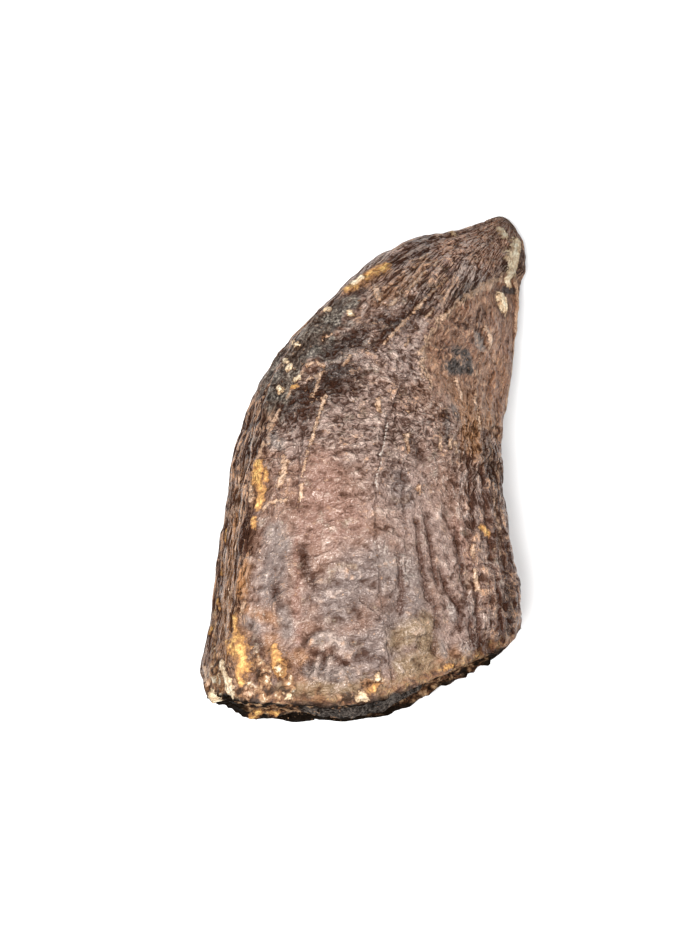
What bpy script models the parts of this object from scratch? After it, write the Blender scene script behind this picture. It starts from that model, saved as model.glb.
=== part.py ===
"""Fossil tyrannosaur tooth: the worn, recurved crown of a side tooth, on its side, with a broken base.

+Y runs from the broken base to the tip, +X from the front (mesial) edge to the rear (distal) edge, and +Z
is up, away from the surface that the tooth lies on. The origin is under the middle of the tooth, on that
surface. Lengths in the design are millimetres. The mesh is made in metres.
"""

import math

import bmesh
import bpy
from mathutils import Vector, noise

MM = 0.001

# Driving dimensions: stations from the broken base to just under the tip, each with the front edge (x, y),
# the rear edge (x, y) and the thickness there.
STATIONS = (
    ((-13.2, -17.2), (12.0, -13.4), 16.2),
    ((-12.1, -11.2), (11.6, -9.0), 17.0),
    ((-11.2, -3.6), (11.0, -3.6), 16.6),
    ((-9.6, 4.1), (10.8, 0.2), 15.2),
    ((-6.9, 9.0), (11.2, 4.0), 13.6),
    ((-2.4, 14.5), (11.8, 9.0), 11.2),
    ((2.9, 18.9), (12.3, 13.4), 8.2),
    ((7.3, 20.5), (13.0, 17.2), 5.2),
    ((9.9, 21.7), (13.3, 20.3), 3.0),
)
TIP = (11.7, 22.3)
TIP_BLUNTNESS = 0.55  # power by which the tip's sections shrink to nothing

# The cross-section, a lens that is fuller in front and drawn out to a keel behind.
THICKEST_FORWARD = 0.12  # share of the half width
REAR_TAPER = 0.22
FRONT_FULLNESS = 0.05

# How it lies: on a worn patch under the base and one near the tip, with a shallow arch between them.
WORN_DEPTH = 0.35
ARCH_HEIGHT = 0.9
ARCH_FROM, ARCH_TO = 1.4, 6.9  # in stations

# The broken base: its line from the front edge to the rear one, seen from above, a thin lip all round it,
# and the filled pulp cavity in the middle.
BREAK_LINE = (
    (-13.1, -17.3),
    (-12.9, -18.5),
    (-12.0, -19.5),
    (-9.6, -20.3),
    (-6.0, -20.7),
    (-2.0, -20.9),
    (1.5, -20.2),
    (4.8, -18.8),
    (7.4, -17.5),
    (9.8, -16.4),
    (10.9, -15.6),
    (11.8, -14.5),
    (12.3, -13.2),
)
BREAK_REACH = 2.0  # in stations, how far up the wall follows that line
BREAK_UNDERCUT = 0.03  # its lower part is further in, per unit of height
LIP_DEPTH = 0.8
LIP_SHARE = 0.1  # of the way in from the rim
PULP_SHARE = 0.38
PULP_EDGE = 0.1
PULP_HEIGHT = 0.7
BREAK_ROUGHNESS = ((1.6, 0.4), (0.7, 0.2))  # size and height of its lumps

# Ridges and furrows that run along the tooth: angle round the section in degrees (0 is the rear edge, 90 is
# up, 180 is the front edge), the stations that it runs between, height (depth, if negative) and half width.
KEELS = (
    (0, 0.0, 8.0, 0.35, 0.9),  # rear carina
    (139, 0.3, 7.0, 0.45, 0.7),  # front carina, turned up on to the visible face
    (160, 0.0, 5.5, -0.45, 1.8),  # flat front facet between that carina and the front edge
    (221, 0.0, 6.0, 0.3, 1.2),
)
FURROWS = (
    (18, 0.0, 2.6, -0.22, 0.5),
    (29, 0.0, 3.4, -0.3, 0.5),
    (40, 0.0, 2.4, -0.25, 0.45),
    (50, 0.1, 2.7, -0.35, 0.5),
    (60, 0.1, 2.0, -0.3, 0.45),
    (71, 0.2, 3.9, -0.28, 0.4),
    (106, 0.2, 3.0, -0.15, 0.5),
    (150, 0.0, 3.4, -0.2, 0.4),
    (171, 0.0, 4.0, -0.25, 0.45),
    (200, 0.0, 3.0, -0.25, 0.5),
    (236, 0.0, 2.6, -0.3, 0.5),
    (287, 0.0, 3.2, -0.25, 0.5),
    (307, 0.0, 2.3, -0.3, 0.5),
    (323, 0.0, 3.5, -0.25, 0.5),
    (340, 0.0, 2.8, -0.25, 0.5),
)

LINE_FADE_IN, LINE_FADE_OUT = 0.4, 1.2  # in stations, at the end by the base and at the other end
LINE_WANDER = 0.05  # in radians

# Where enamel has flaked off the rear of the upper face: ledge outline (x, y) and depth.
FLAKE = (
    (14.5, 17.5),
    (9.5, 15.6),
    (6.4, 13.4),
    (4.9, 11.0),
    (4.7, 9.0),
    (5.8, 6.0),
    (7.0, 3.4),
    (7.0, 0.4),
    (14.5, 0.0),
)
FLAKE_DEPTH = 0.3
FLAKE_EDGE = 0.5  # width of the ledge's slope
RAGGED_LENGTH, RAGGED_REACH = 1.8, 0.5

# Lumps of rock that cling to the tooth, and pits in it: place (x, y, z), radius and height.
LUMPS = (
    ((-11.6, -19.0, 10.0), 1.9, 0.7),
    ((-9.6, -16.0, 13.2), 1.3, 0.4),
    ((-6.6, -20.2, 15.0), 1.3, 0.6),
    ((-0.9, -20.6, 16.6), 1.4, 0.5),
    ((1.4, -19.6, 16.6), 1.2, 0.4),
    ((7.2, -18.6, 14.6), 1.3, 0.6),
    ((-9.0, -20.6, 3.2), 1.5, 0.9),
    ((-7.4, -20.8, 2.0), 1.1, 0.7),
    ((-10.3, 0.0, 9.0), 1.2, 0.4),
    ((-8.2, 0.6, 10.6), 1.3, 0.45),
    ((-5.0, 9.2, 9.6), 1.5, 0.35),
    ((-6.4, 6.8, 9.2), 1.3, 0.35),
    ((-2.4, 8.2, 12.6), 1.7, -0.7),
    ((-0.4, 10.6, 11.6), 1.3, -0.5),
    ((-4.9, 4.4, 13.0), 1.5, -0.4),
    ((-2.4, -15.2, 17.0), 1.5, -0.35),
    ((-1.0, -14.0, 17.0), 1.2, 0.3),
    ((12.9, 16.4, 3.2), 1.0, -0.5),
    ((12.4, 13.4, 4.6), 1.0, 0.3),
    ((10.6, -8.0, 3.0), 2.0, -0.4),
    ((-6.0, 2.0, 1.2), 2.4, -0.4),
)

# The uneven surface of the whole tooth, less so where it is narrow.
SWELL_LENGTH, SWELL_HEIGHT = 7.0, 0.28
BUMP_LENGTH, BUMP_HEIGHT = 2.2, 0.16
NARROW = 3.0  # half width

# The mesh: more columns on the upper side, which shows.
RINGS = 44
TIP_RINGS = 4
UPPER_COLUMNS, LOWER_COLUMNS = 52, 34
BREAK_LOOPS = (0.965, 0.9, 0.8, 0.68, 0.54, PULP_SHARE, 0.25, 0.12)

ENAMEL_COLOUR = (0.22, 0.14, 0.11, 1.0)
ENAMEL_ROUGHNESS = 0.5


def clear_scene():
    for obj in list(bpy.data.objects):
        bpy.data.objects.remove(obj)


def spline(values, at):
    """Catmull-Rom through the values, at a place counted in stations."""
    low = min(int(at), len(values) - 2)
    t = at - low
    before = values[max(low - 1, 0)]
    first, second = values[low], values[low + 1]
    after = values[min(low + 2, len(values) - 1)]
    return 0.5 * (
        2 * first
        + (second - before) * t
        + (2 * before - 5 * first + 4 * second - after) * t**2
        + (3 * first - before - 3 * second + after) * t**3
    )


def smooth_step(t):
    t = min(max(t, 0.0), 1.0)
    return t * t * (3 - 2 * t)


def bell(distance, radius):
    return math.exp(-((distance / radius) ** 2))


class Section:
    """The tooth's section at a station: its middle, the direction of its width, and its half sizes."""

    def __init__(self, station):
        last = len(STATIONS) - 1
        beyond = max(station - last, 0.0)
        at = min(station, last)
        front, rear = (
            Vector([spline([s[side][axis] for s in STATIONS], at) for axis in (0, 1)] + [0.0])
            for side in (0, 1)
        )
        shrink = (1.0 - beyond) ** TIP_BLUNTNESS if beyond else 1.0
        thickness = spline([s[2] for s in STATIONS], at)
        arch = math.sin(math.pi * min(max((at - ARCH_FROM) / (ARCH_TO - ARCH_FROM), 0.0), 1.0)) ** 2
        middle = ((front + rear) / 2).lerp(Vector((*TIP, 0.0)), beyond)
        middle.z = thickness / 2 - WORN_DEPTH + ARCH_HEIGHT * arch
        self.station = station
        self.middle = middle
        self.across = (rear - front).normalized()
        self.half_width = (rear - front).length / 2 * shrink
        self.half_thickness = thickness / 2 * shrink

    def point(self, angle):
        cos, sin = math.cos(angle), math.sin(angle)
        fullness = 1 - REAR_TAPER * cos**2 if cos > 0 else 1 + FRONT_FULLNESS * cos**2
        width = self.half_width * (cos - THICKEST_FORWARD * sin**2)
        return self.middle + self.across * width + Vector((0, 0, self.half_thickness * sin * fullness))

    def outward(self, angle):
        wide = math.cos(angle) / max(self.half_width, 0.1)
        high = math.sin(angle) / max(self.half_thickness, 0.1)
        return (self.across * wide + Vector((0, 0, high))).normalized()

    def arc(self, angle, other):
        """Rough distance round the section between two angles."""
        turn = math.remainder(angle - other, math.tau)
        return turn * math.hypot(self.half_width * math.sin(other), self.half_thickness * math.cos(other))


BASE = Section(0)


def line_relief(section, angle):
    """Height of the keels and furrows that run along the tooth."""
    height = 0.0
    for at, start, end, rise, half_width in KEELS + FURROWS:
        fade_in = smooth_step((section.station - start) / LINE_FADE_IN + 1)
        fade_out = smooth_step((end - section.station) / LINE_FADE_OUT)
        wander = LINE_WANDER * noise.noise(Vector((section.station * 0.9, at * 0.37, 0.0)))
        distance = section.arc(angle, math.radians(at) + wander)
        height += rise * fade_in * fade_out * bell(distance, half_width)
    return height


def distance_inside(outline, x, y):
    """Distance from the nearest side of the outline, positive inside it."""
    inside = False
    nearest = math.inf
    for (ax, ay), (bx, by) in zip(outline, outline[1:] + outline[:1]):
        if (ay > y) != (by > y) and x < ax + (y - ay) / (by - ay) * (bx - ax):
            inside = not inside
        run = (bx - ax) ** 2 + (by - ay) ** 2
        t = min(max(((x - ax) * (bx - ax) + (y - ay) * (by - ay)) / run, 0.0), 1.0)
        nearest = min(nearest, math.hypot(x - ax - t * (bx - ax), y - ay - t * (by - ay)))
    return nearest if inside else -nearest


def flake_relief(place, angle):
    """Depth of the ledge where the enamel has flaked off the upper face."""
    if math.sin(angle) < 0:
        return 0.0
    ragged = RAGGED_REACH * noise.noise(place / RAGGED_LENGTH)
    inside = distance_inside(FLAKE, place.x, place.y) + ragged
    return -FLAKE_DEPTH * smooth_step(inside / FLAKE_EDGE + 0.5)


def lump_relief(place):
    return sum(height * bell((place - Vector(centre)).length, radius) for centre, radius, height in LUMPS)


def uneven(place):
    swell = SWELL_HEIGHT * noise.noise(place / SWELL_LENGTH)
    return swell + BUMP_HEIGHT * noise.noise(place / BUMP_LENGTH)


def break_line(x):
    """How far back the break is, at a place across the base."""
    for (ax, ay), (bx, by) in zip(BREAK_LINE, BREAK_LINE[1:]):
        if x < bx:
            break
    t = min(max((x - ax) / (bx - ax), 0.0), 1.0)
    return ay + (by - ay) * t


def on_break(place):
    """The place carried along the tooth to the broken face."""
    undercut = BREAK_UNDERCUT * (BASE.middle.z + BASE.half_thickness - place.z)
    return Vector((place.x, break_line(place.x) + undercut, place.z))


def wall_point(section, angle):
    place = section.point(angle)
    if section.station < BREAK_REACH:
        rim = BASE.point(angle)
        place += (on_break(rim) - rim) * (1 - section.station / BREAK_REACH) ** 2
    size = min(1.0, section.half_width / NARROW)
    relief = line_relief(section, angle) + flake_relief(place, angle) + uneven(place) * size
    return place + section.outward(angle) * (relief + lump_relief(place))


def break_point(rim, share):
    """A point of the broken face, a share of the way out from its middle to the rim."""
    place = on_break(BASE.middle.lerp(rim, share))
    fill = PULP_HEIGHT * smooth_step((PULP_SHARE + PULP_EDGE - share) / (2 * PULP_EDGE))
    rough = sum(height * noise.noise(place / length) for length, height in BREAK_ROUGHNESS)
    inside = smooth_step((1 - share) / LIP_SHARE)
    place.y += (LIP_DEPTH - fill + rough) * inside - max(lump_relief(place), 0.0)
    return place


def column_angles():
    upper = [math.pi * j / UPPER_COLUMNS for j in range(UPPER_COLUMNS)]
    lower = [math.pi * (1 + j / LOWER_COLUMNS) for j in range(LOWER_COLUMNS)]
    return upper + lower


def ring_stations():
    last = len(STATIONS) - 1
    body = [last * i / RINGS for i in range(RINGS + 1)]
    tip = [last + math.sin(math.pi / 2 * i / (TIP_RINGS + 1)) for i in range(1, TIP_RINGS + 1)]
    return body + tip


def join_loops(mesh, lower, upper):
    for j, vertex in enumerate(lower):
        following = (j + 1) % len(lower)
        mesh.faces.new((vertex, lower[following], upper[following], upper[j]))


def close_fan(mesh, loop, centre):
    for j, vertex in enumerate(loop):
        mesh.faces.new((vertex, loop[(j + 1) % len(loop)], centre))


def add_loop(mesh, points):
    return [mesh.verts.new(point * MM) for point in points]


def build_wall(mesh, angles):
    """The tooth's side from the broken rim to the tip. Returns the rim's points and vertices."""
    rim_points = rim = below = None
    for station in ring_stations():
        section = Section(station)
        points = [wall_point(section, angle) for angle in angles]
        loop = add_loop(mesh, points)
        if below:
            join_loops(mesh, below, loop)
        else:
            rim_points, rim = points, loop
        below = loop
    tip_height = Section(len(STATIONS) - 1).middle.z
    close_fan(mesh, below, mesh.verts.new(Vector((*TIP, tip_height)) * MM))
    return rim_points, rim


def build_break(mesh, rim_points, rim):
    """The broken face that closes the base."""
    outer = rim
    for share in BREAK_LOOPS:
        loop = add_loop(mesh, [break_point(point, share) for point in rim_points])
        join_loops(mesh, loop, outer)
        outer = loop
    centre = break_point(rim_points[0], 0.0)
    close_fan(mesh, list(reversed(outer)), mesh.verts.new(centre * MM))


def wear_flat(mesh):
    """Cuts the underside off flat where the tooth rests."""
    everything = mesh.verts[:] + mesh.edges[:] + mesh.faces[:]
    bmesh.ops.bisect_plane(mesh, geom=everything, plane_co=(0, 0, 0), plane_no=(0, 0, 1), clear_inner=True)
    open_edges = [edge for edge in mesh.edges if edge.is_boundary]
    bmesh.ops.holes_fill(mesh, edges=open_edges, sides=0)


def centre_on_origin(mesh):
    for axis in (0, 1):
        places = [vertex.co[axis] for vertex in mesh.verts]
        middle = (min(places) + max(places)) / 2
        for vertex in mesh.verts:
            vertex.co[axis] -= middle


def enamel_material():
    material = bpy.data.materials.new("fossil_enamel")
    material.use_nodes = True
    shader = material.node_tree.nodes["Principled BSDF"]
    shader.inputs["Base Color"].default_value = ENAMEL_COLOUR
    shader.inputs["Roughness"].default_value = ENAMEL_ROUGHNESS
    shader.inputs["Metallic"].default_value = 0.0
    return material


def build_tooth():
    angles = column_angles()
    mesh = bmesh.new()
    rim_points, rim = build_wall(mesh, angles)
    build_break(mesh, rim_points, rim)
    wear_flat(mesh)
    centre_on_origin(mesh)
    bmesh.ops.recalc_face_normals(mesh, faces=mesh.faces[:])
    data = bpy.data.meshes.new("tooth")
    mesh.to_mesh(data)
    mesh.free()
    data.shade_smooth()
    data.set_sharp_from_angle(angle=math.radians(50))
    data.materials.append(enamel_material())
    tooth = bpy.data.objects.new("tooth", data)
    bpy.context.scene.collection.objects.link(tooth)


clear_scene()
build_tooth()
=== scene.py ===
"""Looks for the fossil tyrannosaur tooth: a dense copy of its solid, carved with the enamel's wrinkles,
grooves, cracks, folds and crusts, and one procedural material. Lengths in the design are millimetres, in the
frame's axes: +Y runs from the broken base to the tip, +X from the front edge to the rear edge, and +Z is up.
"""

import math

import bmesh
import bpy
import numpy as np
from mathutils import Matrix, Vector, noise
from mathutils.bvhtree import BVHTree


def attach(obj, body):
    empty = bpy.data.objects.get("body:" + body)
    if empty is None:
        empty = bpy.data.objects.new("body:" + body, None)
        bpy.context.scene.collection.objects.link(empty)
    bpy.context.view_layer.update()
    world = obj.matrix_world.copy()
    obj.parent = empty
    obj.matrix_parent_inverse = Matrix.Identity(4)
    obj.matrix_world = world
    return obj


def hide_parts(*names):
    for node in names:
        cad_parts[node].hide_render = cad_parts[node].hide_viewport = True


MM = 0.001

# ---- The photograph's viewpoint. Every list called ..._PX below holds places in its 700 x 945 picture.
PHOTO_WIDTH, PHOTO_HEIGHT = 700, 945
ELEVATION = math.radians(78)
DISTANCE = 220.0
FRAMED_HEIGHT = 76.5  # how much the picture takes in from top to bottom, at that distance
AIM = Vector((-1.38, -1.37, 6.0))
SENSOR = 36.0
PX = FRAMED_HEIGHT / PHOTO_HEIGHT  # one pixel of the photograph on the tooth

# ---- The dense mesh: sharp edges stay sharp, and the flat pairs of the solid's triangles become quads.
MERGE_DISTANCE = 0.002 * MM
SHARP_ANGLE, SHARPNESS = math.radians(50), 0.7
FLAT_ANGLE, SKEW_ANGLE = math.radians(40), math.radians(60)

# ---- Ribs of the tooth, from the broken base to the tip: the front edge (x, y), the rear edge (x, y), and
# the height and half thickness of the middle. The grain of the enamel follows them.
RIBS = (
    ((-13.2, -17.2), (12.0, -13.4), 7.8, 8.1),
    ((-11.2, -3.6), (11.0, -3.6), 8.3, 8.3),
    ((-6.9, 9.0), (11.2, 4.0), 7.4, 6.8),
    ((2.9, 18.9), (12.3, 13.4), 3.9, 4.1),
    ((9.9, 21.7), (13.3, 20.3), 1.2, 1.5),
)
CROWN_LENGTH = 40.0
HALF_GIRTH = 34.0  # from the rear edge over the upper face to the front edge, at the base
GRAIN_STEPS = 160

# ---- Cracks and grooves. Most run towards the tip.
MAIN_CRACK_PX = (
    (412, 366), (405, 379), (393, 407), (385, 427), (380, 455), (376, 475), (374, 510), (376, 544),
    (379, 578), (383, 613), (387, 648), (391, 680),
)
CRACKS_PX = (
    ((388, 462), (398, 461), (410, 465)),
    ((403, 470), (404, 510), (407, 545), (408, 575)),
    ((301, 437), (298, 475), (299, 510)),
    ((242, 424), (255, 426), (266, 421), (279, 423)),
    ((392, 628), (375, 612), (362, 600)),
    ((320, 383), (330, 372), (352, 362)),
    ((288, 407), (300, 396), (318, 394), (336, 384)),
    ((436, 634), (420, 636), (404, 640)),
)
GROOVES_PX = (
    ((416, 520), (420, 551), (426, 595), (437, 612), (435, 634), (435, 652)),
    ((426, 520), (433, 559), (438, 585)),
    ((441, 568), (447, 587), (458, 607), (460, 629)),
    ((456, 532), (460, 559), (466, 595), (469, 618), (474, 650)),
    ((474, 579), (477, 607), (481, 652)),
    ((486, 520), (492, 560), (499, 600), (503, 632)),
    ((480, 466), (484, 500), (488, 525)),
    ((468, 455), (471, 490), (477, 530)),
    ((398, 556), (402, 590), (400, 612)),
)
CRACK_WIDTH, CRACK_DEPTH = 0.3, 0.08
GROOVE_WIDTH, GROOVE_DEPTH = 0.32, 0.24
LIP_WIDTH, LIP_HEIGHT = 0.5, 0.10  # of the raised lips of the main crack
GLINT_PX = (((387, 424), (383, 440), (379, 462), (376, 486)), 0.3)  # a painted highlight along that crack's lit edge

# ---- Where the skin has buckled low on the side: the ridges of its folds, and the furrows beside them, each
# as (places, width). So are all strokes below, unless they say otherwise.
FOLDS_PX = (
    (((312, 640), (322, 636), (329, 639), (337, 643), (344, 648)), 0.26),
    (((309, 646), (316, 645), (322, 644), (329, 647), (337, 652), (344, 657), (352, 654)), 0.24),
    (((320, 655), (318, 665), (314, 676)), 0.3), (((330, 656), (329, 667), (327, 678)), 0.3),
    (((306, 655), (305, 666)), 0.3), (((341, 668), (343, 680)), 0.35),
    (((311, 677), (316, 681), (321, 678), (329, 686), (337, 688), (344, 684), (350, 686)), 0.24),
)
FURROWS_PX = (
    (((317, 642), (326, 641), (336, 647)), 0.2),
    (((305, 641), (312, 635), (318, 632)), 0.32),
    (((311, 649), (320, 650), (328, 651), (335, 659), (345, 662), (356, 659)), 0.3),
    (((312, 655), (311, 668)), 0.24), (((325, 655), (322, 668), (320, 675)), 0.22),
    (((352, 643), (360, 647), (366, 654)), 0.26),
)

# ---- Small painted glints.
SPARKLE_PX = (
    (((374, 290), (379, 299)), 0.45), (((345, 330), (352, 325)), 0.3), (((276, 442), (280, 446)), 0.35),
    (((378, 545), (392, 562)), 0.6), (((404, 560), (412, 580)), 0.6), (((262, 612), (262, 616)), 0.4),
    (((448, 608), (452, 616)), 0.4), (((470, 640), (474, 648)), 0.4), (((460, 250), (496, 226)), 1.2),
)

# ---- The front carina, worn to a thin pale line for part of its length. In front of it the facet is darker, as painted shade.
CARINA_WIDTH = 0.17
CARINA_PX = ((304, 368), (294, 386), (283, 404), (271, 427), (263, 448), (257, 466), (253, 486))
FACET_EDGE_PX = (
    (330, 330), (304, 368), (283, 404), (271, 427), (263, 455), (257, 500), (254, 545), (249, 590),
    (242, 628), (235, 690),
)

# ---- The outline where enamel has flaked off, down to brown dentine, and the dark spot in the dentine.
FLAKE_PX = (
    (530, 262), (506, 276), (482, 289), (467, 298), (455, 308), (439, 320), (429, 340), (423, 353),
    (425, 370), (434, 389), (437, 405), (452, 408), (455, 418), (451, 431), (450, 460), (470, 478),
    (520, 470), (540, 380),
)
DENTINE_SPOTS_PX = (
    (((450, 367), (469, 365)), 0.75), (((459, 351), (467, 354)), 0.6), (((456, 360), (469, 360)), 0.5),
    (((462, 352), (465, 358)), 0.55), (((470, 358), (472, 372)), 0.4),
)

# ---- Mineral flakes and streaks, all raised a little.
OCHRE_PX = (
    (((259, 466), (257, 480), (262, 492), (259, 506)), 0.5), (((266, 470), (266, 480)), 0.3),
    (((254, 519), (255, 526)), 0.3), (((235, 616), (236, 634)), 0.25),
    (((238, 642), (243, 652), (244, 668)), 0.8), (((227, 644), (234, 654)), 0.45),
    (((240, 674), (243, 684)), 0.35), (((274, 648), (276, 658)), 0.35), (((278, 660), (281, 670)), 0.65),
    (((211, 626), (212, 632)), 0.3), (((218, 600), (219, 610)), 0.2),
    (((348, 288), (360, 281), (372, 274), (386, 267)), 0.62), (((503, 298), (504, 310)), 0.6),
    (((293, 388), (297, 386)), 0.25), (((227, 530), (225, 541)), 0.25), (((222, 555), (221, 575)), 0.22),
    (((483, 528), (487, 533)), 0.4), (((254, 714), (258, 714)), 0.5), (((271, 713), (276, 713)), 0.4),
    (((366, 693), (376, 686)), 0.4), (((445, 668), (452, 666)), 0.3),
)
CREAM_PX = (
    (((500, 230), (504, 235)), 0.42), (((516, 244), (514, 256)), 0.7), (((512, 258), (512, 268)), 0.95),
    (((510, 272), (509, 282)), 0.6), (((502, 297), (503, 308)), 0.62),
    (((222, 664), (227, 680), (232, 694)), 0.4), (((279, 668), (281, 671)), 0.3),
    (((214, 694), (226, 700), (236, 700)), 0.5), (((287, 697), (289, 697)), 0.3),
    (((359, 697), (363, 696)), 0.4), (((375, 678), (378, 677)), 0.3), (((461, 673), (468, 669)), 0.4),
    (((450, 234), (454, 235)), 0.2), (((352, 285), (362, 279)), 0.28), (((327, 309), (328, 310)), 0.3),
    (((349, 312), (351, 315)), 0.3), (((294, 344), (298, 346)), 0.26), (((284, 360), (287, 361)), 0.22),
    (((288, 369), (291, 366)), 0.28), (((296, 380), (299, 378)), 0.24), (((279, 388), (281, 392)), 0.28),
)
TAN_PX = (
    (((375, 288), (379, 298)), 0.28), (((378, 400), (379, 409)), 0.25), (((437, 322), (450, 311)), 0.24),
    (((252, 484), (251, 500)), 0.3), (((246, 690), (250, 694)), 0.35), (((206, 668), (209, 684)), 0.3),
)
STREAKS_PX = (
    (((358, 344), (344, 364), (327, 392), (315, 428), (304, 468), (300, 500)), 0.17),
    (((425, 345), (424, 362), (431, 382)), 0.16),
    (((279, 452), (285, 462), (281, 484)), 0.36),
    (((407, 412), (406, 440), (410, 452)), 0.22),
    (((420, 488), (422, 500)), 0.3),
    (((244, 600), (240, 622), (236, 640)), 0.18),
    (((486, 326), (492, 336), (490, 348), (482, 358)), 0.24),
    (((440, 400), (456, 408), (457, 424), (451, 440), (449, 462)), 0.22),
    (((441, 415), (440, 440), (443, 454)), 0.2),
    (((260, 512), (270, 504), (287, 501)), 0.14),
    (((457, 378), (460, 388)), 0.2),
    (((474, 545), (473, 562), (478, 590)), 0.24),
    (((462, 392), (460, 420), (456, 452)), 0.18),
    (((478, 372), (476, 400), (480, 430)), 0.14),
    (((228, 560), (232, 600), (226, 640)), 0.2),
    (((246, 430), (240, 470), (236, 520)), 0.16),
    (((238, 540), (232, 590)), 0.2),
    (((372, 324), (392, 305), (415, 283), (436, 262)), 0.2),
    (((384, 344), (404, 322), (424, 300), (450, 276)), 0.16),
    (((405, 345), (425, 318), (442, 300)), 0.14),
    (((395, 276), (425, 256), (455, 244)), 0.16),
    (((306, 366), (316, 362), (324, 366)), 0.16),
    (((320, 374), (316, 390), (312, 396)), 0.18),
    (((323, 338), (336, 332), (352, 327)), 0.12),
    (((306, 380), (322, 374), (334, 368)), 0.1),
    (((300, 405), (316, 401), (330, 392)), 0.1),
)

# ---- Broad stains, with soft ends; the two darkest are partly painted shade, and the silvery one is a painted sheen. The skin is calm where its wrinkles are low.
STAINS_PX = {
    "mid": (
        (((352, 400), (390, 430), (400, 480), (430, 540)), 3.0),
        (((400, 345), (420, 360)), 1.6),
        (((450, 540), (455, 590)), 1.8),
    ),
    "pale": (
        (((275, 545), (270, 590)), 1.5),
        (((340, 600), (372, 570), (405, 575), (408, 620), (370, 650)), 2.2),
        (((400, 480), (403, 500)), 1.0),
    ),
    "pink": (
        (((322, 470), (318, 530), (345, 515)), 2.0),
        (((430, 335), (442, 318)), 0.9),
        (((460, 525), (470, 560)), 0.8),
        (((285, 462), (280, 485)), 0.6),
        (((298, 500), (302, 520), (297, 548), (300, 575), (295, 602), (299, 640)), 0.36),
        (((430, 268), (455, 258)), 1.2),
        (((474, 545), (476, 590)), 0.6),
    ),
    "rust": (
        (((380, 300), (400, 284), (425, 262)), 0.8),
        (((300, 655), (308, 672), (300, 690)), 0.6),
        (((440, 662), (462, 652)), 0.6),
        (((495, 380), (500, 430)), 0.9),
        (((248, 612), (262, 616), (278, 620)), 0.6),
        (((290, 690), (340, 694), (390, 686)), 0.5),
        (((255, 462), (258, 500)), 0.8),
        (((270, 640), (262, 655)), 0.8),
    ),
    "amber": (
        (((240, 480), (234, 540), (228, 600), (226, 650)), 1.8),
        (((455, 385), (466, 410), (474, 445)), 1.5),
        (((480, 370), (490, 430)), 1.0),
        (((466, 395), (482, 450)), 1.6),
        (((242, 565), (240, 592)), 0.7),
        (((240, 640), (246, 668)), 1.2),
        (((276, 655), (281, 668)), 0.9),
        (((352, 286), (380, 270)), 1.0),
    ),
    # Dark brown stains, and painted shade in the hollow, below the folds and along the edges that turn from
    # the light.
    "umber_and_shade": (
        (((262, 408), (300, 410), (325, 393), (345, 372)), 1.7),
        (((322, 354), (350, 342)), 1.4),
        (((340, 368), (352, 384)), 1.3),
        (((362, 330), (384, 320)), 0.8),
        (((372, 350), (400, 320), (430, 290)), 0.5),
        (((408, 440), (420, 456)), 0.6),
        (((318, 654), (345, 662)), 0.3),
        (((303, 548), (306, 572), (312, 582)), 0.5),
        (((276, 585), (280, 610)), 0.4),
        (((400, 262), (430, 246)), 0.5),
        (((395, 325), (425, 300)), 0.8),
        (((486, 440), (496, 470), (498, 500)), 1.1),
        (((460, 322), (474, 326)), 0.8),
        (((484, 309), (478, 324)), 0.5),
        (((446, 350), (456, 358)), 0.8),
        (((504, 545), (510, 600), (498, 640), (482, 652)), 1.1),
        (((256, 645), (262, 675)), 0.75),
        (((268, 436), (258, 450)), 0.9),
        (((420, 240), (460, 228)), 0.7),
        (((245, 520), (240, 560)), 0.6),
        (((306, 668), (350, 682)), 0.7),
        (((292, 696), (340, 700), (356, 699)), 0.4),
    ),
    # Near-black stains, and painted shade in the hollow, between the chips near the tip and along the edges
    # that turn from the light.
    "burnt_and_shade": (
        (((328, 352), (342, 346), (356, 338)), 1.2),
        (((290, 404), (304, 392), (322, 386), (338, 374)), 1.25),
        (((276, 408), (268, 420)), 0.6),
        (((384, 330), (402, 322)), 0.5),
        (((252, 436), (246, 470), (240, 520)), 0.5),
        (((486, 452), (492, 480)), 0.7),
        (((508, 590), (510, 630), (490, 654)), 0.6),
        (((352, 296), (362, 291)), 0.5),
        (((506, 289), (516, 290)), 0.45),
        (((445, 412), (448, 442)), 0.42),
    ),
    # Painted sheen on the lumps and the folds' ridges.
    "lump_sheen": (
        (((314, 672), (346, 676)), 1.0),
        (((312, 640), (326, 636), (344, 644)), 0.45),
        (((378, 560), (408, 575)), 0.8),
        (((450, 606), (454, 618)), 0.5),
        (((468, 606), (472, 620)), 0.45),
        (((442, 645), (443, 654)), 0.45),
        (((464, 648), (472, 658)), 0.55),
        (((284, 612), (288, 632)), 0.6),
        (((274, 532), (282, 546)), 0.8),
        (((246, 620), (258, 628)), 0.5),
    ),
    "tip": (
        (((450, 250), (475, 238), (502, 228)), 1.5),
        (((480, 262), (505, 240)), 1.2),
    ),
    "grey": (
        (((458, 297), (478, 285)), 0.7),
        (((480, 336), (482, 345)), 0.55),
        (((455, 408), (457, 418)), 0.5),
        (((273, 436), (279, 446)), 0.6),
    ),
    "olive": (
        (((398, 640), (425, 625), (428, 655), (405, 668)), 1.0),
        (((400, 680), (440, 668), (470, 660)), 0.5),
        (((300, 345), (285, 372)), 1.0),
        (((280, 688), (340, 692), (385, 688)), 0.7),
    ),
    "calm": (
        (((275, 540), (270, 600)), 1.8),
        (((320, 560), (400, 560), (402, 615), (385, 640)), 3.3),
        (((430, 610), (440, 650)), 1.2),
        (((420, 452), (424, 466)), 0.7),
        (((315, 480), (325, 530)), 2.0),
    ),
}

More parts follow.
